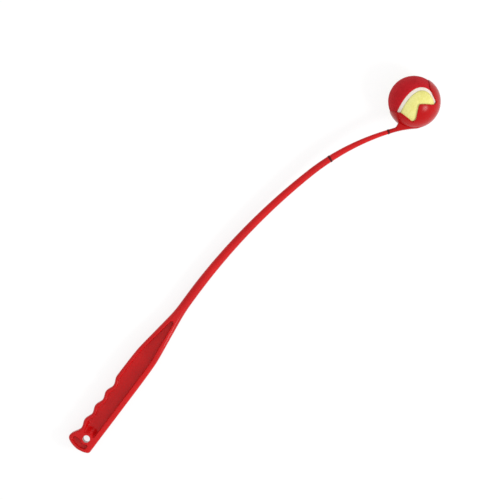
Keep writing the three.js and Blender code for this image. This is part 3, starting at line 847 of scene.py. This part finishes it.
# %% Measures of the ball
SADDLE, SEAM_HALF, SEAM_RADIUS = 2.12, 2.3, 32.5
FELT_EDGE = [(0.0, 32.2), (0.15, 32.5), (0.5, 32.75), (1.1, 32.95), (2.0, 33.1)]
GLUE_OFFSETS = [-2.2, -1.5, -0.75, 0.0, 0.75, 1.5, 2.2]
FELT_WALL, SEAM_WALL = 2.0, 1.6
SEAM_POINTS, PANEL_ROWS, PANEL_REACH = 224, 16, math.radians(100)
LOBE = Vector((-0.213, -0.437, 0.874)).normalized()
WAIST_SEEN = Vector((-0.862, -0.334, -0.38))
WAIST = (WAIST_SEEN - LOBE * WAIST_SEEN.dot(LOBE)).normalized()
ball_turn = Matrix((WAIST.cross(LOBE), WAIST, LOBE)).transposed()
INTO_BALL = Matrix.Translation(BALL_CENTRE) @ ball_turn.to_4x4()
print("ball:", round(2 * BALL_RADIUS, 1), "wide over the felt")

# %% The seam and the rows of a panel


def seam_point(azimuth):
    """A point of the seam on a ball of radius 1, round the panel's middle."""
    pull = SADDLE * math.cos(2 * azimuth)
    height = (math.sqrt(1 + 4 * pull**2) - 1) / (2 * pull) if abs(pull) > 1e-6 else 0.0
    flat = math.sqrt(1 - height**2)
    return Vector((flat * math.cos(azimuth), height, flat * math.sin(azimuth)))


def seam_line():
    quarter = [seam_point(math.radians(a / 2)) for a in range(181)]
    return all_round(evenly(quarter, SEAM_POINTS // 4))


def panel_rows():
    seam = seam_line()
    rows = [step_inside(seam, -(SEAM_HALF + offset), radius) for offset, radius in FELT_EDGE]
    spine = []
    for spot in rows[-1]:
        reach = clamp(math.atan2(spot.z, spot.y), -PANEL_REACH, PANEL_REACH)
        spine.append(Vector((0, math.cos(reach), math.sin(reach))))
    return rows + [slide(rows[-1], spine, i / PANEL_ROWS, BALL_RADIUS) for i in range(1, PANEL_ROWS + 1)]


def glue_rows():
    seam = seam_line()
    return [step_inside(seam, offset, SEAM_RADIUS) for offset in GLUE_OFFSETS]


print("rows of a felt panel:", len(panel_rows()))

# %% [markdown]
# Felt is never as smooth as a sphere. Before it gets its thickness, the panel is subdivided and pushed in and
# out by a fine cloud pattern, by a fifth of a millimetre, so that the edge of the ball is a little woolly.

# %% Nap of the felt
NAP_DEPTH, NAP_CLUMP = 0.4, 1.6


def raise_nap(piece):
    finer = piece.modifiers.new("Finer", "SUBSURF")
    finer.subdivision_type = "SIMPLE"
    finer.levels = finer.render_levels = 1
    woolly = bpy.data.textures.new("felt_clumps", "CLOUDS")
    woolly.noise_scale = NAP_CLUMP
    nap = piece.modifiers.new("Nap", "DISPLACE")
    nap.texture = woolly
    nap.texture_coords = "LOCAL"
    nap.strength = NAP_DEPTH
    nap.mid_level = 0.5
    apply_modifiers(piece)


# %% Make the panels and the glue line
yellow_panel = grow_rows("yellow_felt_panel", panel_rows())
bpy.ops.mesh.select_all(action="SELECT")
bpy.ops.mesh.remove_doubles(threshold=0.01)
settle_normals()
face_outwards(yellow_panel)
raise_nap(yellow_panel)
thicken(yellow_panel, FELT_WALL)
choose(yellow_panel)
bpy.ops.object.duplicate()
red_panel = bpy.context.object
red_panel.name = red_panel.data.name = "red_felt_panel"
red_panel.data.transform(Matrix.Rotation(math.pi, 4, Vector((1, 0, 1))))

glue = grow_rows("glue_line", glue_rows())
settle_normals()
face_outwards(glue)
thicken(glue, SEAM_WALL)
for piece in (yellow_panel, red_panel, glue):
    piece.data.transform(INTO_BALL)
    smooth(piece, 60)
    print(piece.name, "faces:", len(piece.data.polygons))

# %% [markdown]
# ## Into the frame
# Up to here all was drawn flat. Now each piece moves to its place in the frame, rides on its body and takes
# the place of its solid. The two rubber shells inside the ball keep their solids, and get only a finish
# later. The felt that the ball rests on is pressed flat by its weight, so nothing goes below a tenth of a
# millimetre over the floor.

# %% Place the pieces
PRESSED_FLAT = 0.0001
pieces = [
    (handle, "launcher", "handle", "red_plastic"),
    (link, "launcher", "shaft_link", "red_plastic"),
    (cup, "launcher", "cup_head", "red_plastic"),
    (lower_ring, "launcher", "lower_joint_ring", "dark_ring"),
    (upper_ring, "launcher", "upper_joint_ring", "dark_ring"),
    (yellow_panel, "ball", "ball_felt_yellow", "yellow_felt"),
    (red_panel, "ball", "ball_felt_red", "red_felt"),
    (glue, "ball", "ball_seam", "seam"),
]
for piece, body, node, slot in pieces:
    piece.data.transform(TO_FRAME)
    for vert in piece.data.vertices:
        vert.co.z = max(vert.co.z, PRESSED_FLAT)
    piece.data.update()
    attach(piece, body)
    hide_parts(node)
print("pieces in place:", [piece.name for piece, *_ in pieces])

# %% [markdown]
# ## Finishes
# Three kinds of surface show: glossy moulded plastic, felt, and rubbery glue. A finish that is one flat
# colour looks like a toy, because real plastic has slow drifts of pigment and a skin that is a little uneven,
# and felt is thousands of fibres. Each of these two effects is a group of nodes, built once and then placed
# in every material with its own colours. All patterns use Object coordinates, in metres, so a scale of 1000
# gives grains of about a millimetre.

# %% Nodes and empty effects


def add_node(tree, kind, settings=None, **values):
    """Adds a node, with its settings and the plain values of its inputs by name."""
    node = tree.nodes.new(kind)
    for name, value in (settings or {}).items():
        setattr(node, name, value)
    for name, value in values.items():
        node.inputs[name.replace("_", " ")].default_value = value
    return node


def new_effect(name, colours, values, results):
    """An empty group of nodes with named colour inputs, value inputs and outputs."""
    tree = bpy.data.node_groups.new(name, "ShaderNodeTree")
    for label in colours:
        tree.interface.new_socket(label, in_out="INPUT", socket_type="NodeSocketColor")
    for label in values:
        tree.interface.new_socket(label, in_out="INPUT", socket_type="NodeSocketFloat")
    for label, kind in results:
        tree.interface.new_socket(label, in_out="OUTPUT", socket_type=kind)
    return tree, tree.nodes.new("NodeGroupInput"), tree.nodes.new("NodeGroupOutput")


# %% The small parts of an effect


def feed(tree, value, target):
    """Links a socket to an input, or sets the input to a number."""
    if isinstance(value, bpy.types.NodeSocket):
        tree.links.new(value, target)
    else:
        target.default_value = value


def noise_field(tree, scale, detail, roughness=0.5, distortion=0.0):
    """A noise in Object coordinates, given as the socket that it comes out of."""
    place = add_node(tree, "ShaderNodeTexCoord")
    field = add_node(tree, "ShaderNodeTexNoise", Detail=detail, Roughness=roughness, Distortion=distortion)
    tree.links.new(place.outputs["Object"], field.inputs["Vector"])
    feed(tree, scale, field.inputs["Scale"])
    return field.outputs["Fac"]


def spread(tree, socket, low, high, new_low=0.0, new_high=1.0):
    """Stretches a value from one range to another."""
    ranges = {"From_Min": low, "From_Max": high, "To_Min": new_low, "To_Max": new_high}
    stretch = add_node(tree, "ShaderNodeMapRange", **ranges)
    tree.links.new(socket, stretch.inputs["Value"])
    return stretch.outputs["Result"]


def blend(tree, share, first, second):
    """Mixes two colours by a share."""
    mixer = tree.nodes.new("ShaderNodeMix")
    mixer.data_type = "RGBA"
    tree.links.new(share, mixer.inputs["Factor"])
    tree.links.new(first, mixer.inputs[6])
    tree.links.new(second, mixer.inputs[7])
    return mixer.outputs[2]


def maths(tree, operation, first, second):
    """One sum on two sockets or numbers."""
    node = add_node(tree, "ShaderNodeMath", {"operation": operation})
    feed(tree, first, node.inputs[0])
    feed(tree, second, node.inputs[1])
    return node.outputs["Value"]


# %% [markdown]
# Moulded plastic: the pigment drifts over some centimetres, and the skin has a very fine grain that spreads
# the shine. Handling leaves rubbed patches where the shine is duller. One group gives the colour, the
# roughness and a height for a bump.

# %% The moulded skin effect
moulded_skin, source, result = new_effect(
    "moulded_skin",
    ["Colour", "Deep Colour"],
    ["Roughness", "Rubbed Roughness", "Grain Scale"],
    [("Colour", "NodeSocketColor"), ("Roughness", "NodeSocketFloat"), ("Height", "NodeSocketFloat")],
)
clouds = noise_field(moulded_skin, scale=22, detail=3, roughness=0.6, distortion=0.6)
drift = spread(moulded_skin, clouds, 0.36, 0.66)
pigment = blend(moulded_skin, drift, source.outputs["Colour"], source.outputs["Deep Colour"])
moulded_skin.links.new(pigment, result.inputs["Colour"])
grain = noise_field(moulded_skin, scale=source.outputs["Grain Scale"], detail=2)
smears = noise_field(moulded_skin, scale=65, detail=6, roughness=0.65, distortion=1.2)
rub = spread(moulded_skin, smears, 0.54, 0.68)
more = maths(moulded_skin, "SUBTRACT", source.outputs["Rubbed Roughness"], source.outputs["Roughness"])
rubbed = maths(moulded_skin, "MULTIPLY", more, rub)
dull = maths(moulded_skin, "ADD", source.outputs["Roughness"], rubbed)
grain_shift = spread(moulded_skin, grain, 0.3, 0.7, -0.03, 0.03)
moulded_skin.links.new(maths(moulded_skin, "ADD", dull, grain_shift), result.inputs["Roughness"])
moulded_skin.links.new(grain, result.inputs["Height"])
print("moulded_skin:", len(moulded_skin.nodes), "nodes")

# %% [markdown]
# Felt: fibres lie in small tangled clumps. A clump catches light on its crown and is darker in the gaps, and over
# the whole ball the dye is a little uneven. The group paints that shade into the colour: it mixes the dye with a
# darker gap shade by the clumps and the finer fibres, shifted by the uneven dye patches, and gives the same
# clumps and the finer fibres as a height.

# %% The felt nap effect
felt_nap, source, result = new_effect(
    "felt_nap",
    ["Dye", "Painted Gap Shade"],
    ["Clump Scale", "Fibre Scale"],
    [("Colour", "NodeSocketColor"), ("Height", "NodeSocketFloat")],
)
clumps = noise_field(felt_nap, source.outputs["Clump Scale"], detail=5, roughness=0.7, distortion=0.8)
fibres = noise_field(felt_nap, source.outputs["Fibre Scale"], detail=3, roughness=0.6, distortion=2.5)
patches = spread(felt_nap, noise_field(felt_nap, scale=60, detail=2), 0.3, 0.7, -0.12, 0.12)
gaps = spread(felt_nap, maths(felt_nap, "ADD", clumps, patches), 0.62, 0.34)
fine_gaps = spread(felt_nap, fibres, 0.62, 0.36, 0.0, 0.4)
shade = maths(felt_nap, "MINIMUM", maths(felt_nap, "ADD", gaps, fine_gaps), 1.0)
# Painted shade: the colour goes towards the darker gap colour in the gaps between clumps and fibres.
dye_with_painted_shade = blend(felt_nap, shade, source.outputs["Dye"], source.outputs["Painted Gap Shade"])
felt_nap.links.new(dye_with_painted_shade, result.inputs["Colour"])
fibre_height = maths(felt_nap, "MULTIPLY", fibres, 0.5)
felt_nap.links.new(maths(felt_nap, "ADD", clumps, fibre_height), result.inputs["Height"])
print("felt_nap:", len(felt_nap.nodes), "nodes")

# %% [markdown]
# A material holds the Principled shader itself, with its constant settings, and one of the two groups. A
# small helper makes such a material, so that each finish is then one short call with its own colours.

# %% Finishes from an effect


def finish(name, effect, inputs, bump, constants):
    """A material with one effect group, a bump of (strength, depth in metres) and constant settings."""
    material = bpy.data.materials.new(name)
    material.use_nodes = True
    tree = material.node_tree
    surface = tree.nodes["Principled BSDF"]
    group = add_node(tree, "ShaderNodeGroup", {"node_tree": effect})
    for label, value in inputs.items():
        group.inputs[label].default_value = (*value, 1) if isinstance(value, tuple) else value
    for label, value in constants.items():
        surface.inputs[label].default_value = value
    relief = add_node(tree, "ShaderNodeBump", Strength=bump[0], Distance=bump[1])
    tree.links.new(group.outputs["Colour"], surface.inputs["Base Color"])
    if "Roughness" in group.outputs:
        tree.links.new(group.outputs["Roughness"], surface.inputs["Roughness"])
    tree.links.new(group.outputs["Height"], relief.inputs["Height"])
    tree.links.new(relief.outputs["Normal"], surface.inputs["Normal"])
    return material


# %% [markdown]
# The launcher's plastic is a warm, strong red with a medium gloss. Most of its red comes from the pigment, so
# the specular level is under the usual, which keeps white reflections from washing it out. The cup has its own
# finish, a darker copy of the same red with a still lower specular level. Its darker red is painted shade, so that
# the cup, which the lamp lights most, still comes out deeper than the grip and the shaft. The two joint rings
# are a very dark red, and the shells of the ball are dull rubber.

# %% Plastic and rubber
shaft_plastic = finish(
    "shaft_plastic",
    moulded_skin,
    inputs={"Colour": (0.63, 0.005, 0.006), "Deep Colour": (0.54, 0.003, 0.005),
            "Roughness": 0.26, "Rubbed Roughness": 0.31, "Grain Scale": 1500},
    bump=(0.04, 0.0001),
    constants={"IOR": 1.45, "Specular IOR Level": 0.26},
)
# Painted shade: the cup's red is a darker copy of the shaft's plastic, to offset the lamp that hangs close to it.
cup_plastic_painted_shade = finish(
    "cup_plastic_painted_shade",
    moulded_skin,
    inputs={"Colour": (0.48, 0.003, 0.004), "Deep Colour": (0.42, 0.002, 0.003),
            "Roughness": 0.25, "Rubbed Roughness": 0.29, "Grain Scale": 1500},
    bump=(0.04, 0.0001),
    constants={"IOR": 1.45, "Specular IOR Level": 0.18},
)
dark_ring = finish(
    "dark_ring",
    moulded_skin,
    inputs={"Colour": (0.12, 0.002, 0.002), "Deep Colour": (0.08, 0.001, 0.001),
            "Roughness": 0.42, "Rubbed Roughness": 0.55, "Grain Scale": 2200},
    bump=(0.08, 0.0001),
    constants={"IOR": 1.45, "Specular IOR Level": 0.2},
)
rubber = finish(
    "core_rubber",
    moulded_skin,
    inputs={"Colour": (0.09, 0.075, 0.065), "Deep Colour": (0.06, 0.05, 0.045),
            "Roughness": 0.7, "Rubbed Roughness": 0.85, "Grain Scale": 900},
    bump=(0.3, 0.0002),
    constants={"IOR": 1.5, "Specular IOR Level": 0.4},
)
for piece in (handle, link):
    piece.data.materials.append(shaft_plastic)
cup.data.materials.append(cup_plastic_painted_shade)
for piece in (lower_ring, upper_ring):
    piece.data.materials.append(dark_ring)
for name in ("ball_core_front", "ball_core_back"):
    core = frame["nodes"][name]
    core.data.materials.clear()
    core.data.materials.append(rubber)
print("plastic and rubber:", [paint.name for paint in (shaft_plastic, cup_plastic_painted_shade, dark_ring, rubber)])

# %% [markdown]
# The two felts share the nap effect, with its painted gap shade, and differ in dye. The glue between them is a
# whitish rubber that has picked up loose fibres, so it takes the nap effect and its painted gap shade too, finer
# and with little contrast. A low sheen, a constant on the shader, stands for the fibre tips that catch light at
# the edge of the ball.

# %% Felt and glue
# Each felt and the glue gets a darker gap colour, which is painted shade for the gaps between clumps and fibres.
yellow_felt = finish(
    "yellow_felt",
    felt_nap,
    inputs={"Dye": (0.87, 0.84, 0.32), "Painted Gap Shade": (0.76, 0.71, 0.21),
            "Clump Scale": 420, "Fibre Scale": 1500},
    bump=(0.5, 0.0006),
    constants={"Roughness": 0.95, "Specular IOR Level": 0.15, "Sheen Weight": 0.12, "Sheen Roughness": 0.5},
)
red_felt = finish(
    "red_felt",
    felt_nap,
    inputs={"Dye": (0.63, 0.012, 0.021), "Painted Gap Shade": (0.51, 0.008, 0.014),
            "Clump Scale": 420, "Fibre Scale": 1500},
    bump=(0.5, 0.0006),
    constants={"Roughness": 0.95, "Specular IOR Level": 0.15, "Sheen Weight": 0.06, "Sheen Roughness": 0.5},
)
glue_white = finish(
    "glue_white",
    felt_nap,
    inputs={"Dye": (0.94, 0.87, 0.77), "Painted Gap Shade": (0.86, 0.77, 0.66),
            "Clump Scale": 700, "Fibre Scale": 2000},
    bump=(0.3, 0.0003),
    constants={"Roughness": 0.8, "Specular IOR Level": 0.3},
)
yellow_panel.data.materials.append(yellow_felt)
red_panel.data.materials.append(red_felt)
glue.data.materials.append(glue_white)
print("felt and glue:", [paint.name for paint in (yellow_felt, red_felt, glue_white)])

# %% [markdown]
# ## Camera
# The photograph looks square at the flat side of the launcher from a few metres away, so a long lens stands
# over the drawing plane, three metres off, and is turned until the shaft runs from corner to corner. It comes
# before the lamps because they are hung by what the camera sees.

# %% Camera
CAMERA_AIM, CAMERA_AWAY, CAMERA_LENS = Vector((321.92, -21.4, 0)), 3000, 166.8
PICTURE_TURN = math.radians(52.9)
right = Vector((math.cos(PICTURE_TURN), -math.sin(PICTURE_TURN), 0))
up = Vector((math.sin(PICTURE_TURN), math.cos(PICTURE_TURN), 0))
back = Vector((0, 0, 1))
bpy.ops.object.camera_add()
camera = bpy.context.object
camera.name = "photo_camera"
camera.data.lens = CAMERA_LENS
camera.data.sensor_width = 36
view_turn = Matrix((along, across, square)).transposed() @ Matrix((right, up, back)).transposed()
stand = TO_FRAME @ (CAMERA_AIM + back * CAMERA_AWAY)
camera.matrix_world = Matrix.Translation(stand) @ view_turn.to_4x4()
bpy.context.scene.camera = camera
print("camera at", [round(value, 3) for value in camera.matrix_world.translation])

# %% [markdown]
# ## Floor
# The photograph is cut out on pure white. A plain white floor would need so much light that the object
# burns out, so the floor shines by itself, but only for rays that come from the camera or by way of a
# reflection. A part of it stays ordinary matt floor, and that part keeps the object's shadow.

# %% Floor that looks white and keeps a shadow
FLOOR_SIZE, FLOOR_SHADE, FLOOR_GLOW = 12, 0.2, 1.05
PLAIN_GREY, SHADE_GREY = (0.75, 0.75, 0.75, 1), (0.9, 0.9, 0.9, 1)


def seen_rays(tree):
    """1 for rays of the camera and for what reflections and glass show, 0 for all other light."""
    ray = add_node(tree, "ShaderNodeLightPath")
    seen = maths(tree, "MAXIMUM", ray.outputs["Is Camera Ray"], ray.outputs["Is Glossy Ray"])
    return maths(tree, "MAXIMUM", seen, ray.outputs["Is Transmission Ray"])


deselect()
bpy.ops.mesh.primitive_plane_add(size=FLOOR_SIZE)
floor = bpy.context.object
floor.name = "pale_floor"
floor_paint = bpy.data.materials.new("pale_floor")
floor_paint.use_nodes = True
tree = floor_paint.node_tree
tree.nodes.clear()
seen = seen_rays(tree)
matt = add_node(tree, "ShaderNodeBsdfDiffuse", Color=PLAIN_GREY)
pale_matt = add_node(tree, "ShaderNodeBsdfDiffuse", Color=SHADE_GREY)
shine = add_node(tree, "ShaderNodeEmission", Color=(1, 1, 1, 1), Strength=FLOOR_GLOW)
seen_floor = add_node(tree, "ShaderNodeMixShader", Fac=FLOOR_SHADE)
tree.links.new(shine.outputs["Emission"], seen_floor.inputs[1])
tree.links.new(pale_matt.outputs["BSDF"], seen_floor.inputs[2])
whole_floor = tree.nodes.new("ShaderNodeMixShader")
tree.links.new(seen, whole_floor.inputs["Fac"])
tree.links.new(matt.outputs["BSDF"], whole_floor.inputs[1])
tree.links.new(seen_floor.outputs["Shader"], whole_floor.inputs[2])
paint = tree.nodes.new("ShaderNodeOutputMaterial")
tree.links.new(whole_floor.outputs["Shader"], paint.inputs["Surface"])
floor.data.materials.append(floor_paint)
print("floor nodes:", len(tree.nodes))

# %% [markdown]
# ## Light
# The photograph has one soft spot of light on the cup, low on the right, and otherwise even light. The even
# part is the world. The camera and the reflections see it white, as they see the floor, and matt surfaces get
# a sky that grows brighter overhead, which reaches the bottom of the recess in the grip. The spot is a round
# lamp.

# %% World
SKY_LOW, SKY_HIGH = 0.42, 1.07
world = bpy.data.worlds.new("white_room")
bpy.context.scene.world = world
world.use_nodes = True
tree = world.node_tree
sky = tree.nodes["Background"]
sky.inputs["Color"].default_value = (1, 1, 1, 1)
place = add_node(tree, "ShaderNodeTexCoord")
parts = add_node(tree, "ShaderNodeSeparateXYZ")
tree.links.new(place.outputs["Generated"], parts.inputs["Vector"])
sky_level = spread(tree, parts.outputs["Z"], 0.0, 1.0, SKY_LOW, SKY_HIGH)
seen = seen_rays(tree)
dimmed = maths(tree, "MULTIPLY", sky_level, maths(tree, "SUBTRACT", 1.0, seen))
tree.links.new(maths(tree, "ADD", dimmed, seen), sky.inputs["Strength"])
print("world nodes:", len(tree.nodes))

# %% The lamp


def hang_lamp(name, towards, away, radius, radiance):
    """A round lamp over the ball, in a direction given as the camera sees it: right, up and towards it."""
    direction = (view_turn @ Vector(towards)).normalized()
    bpy.ops.object.light_add(type="AREA", location=TO_FRAME @ BALL_CENTRE + direction * away)
    lamp = bpy.context.object
    lamp.name = name
    lamp.data.shape = "DISK"
    lamp.data.size = 2 * radius
    lamp.data.energy = radiance * math.pi**2 * radius**2
    lamp.rotation_euler = direction.to_track_quat("Z", "Y").to_euler()
    return lamp


spot_lamp = hang_lamp("soft_spot", towards=(0.7, -0.45, 0.55), away=1.6, radius=0.25, radiance=18)
print(spot_lamp.name, "at", [round(value, 2) for value in spot_lamp.location])
print(spot_lamp.name, "power:", round(spot_lamp.data.energy, 2), "W")
bpy.context.scene.view_settings.view_transform = "Standard"
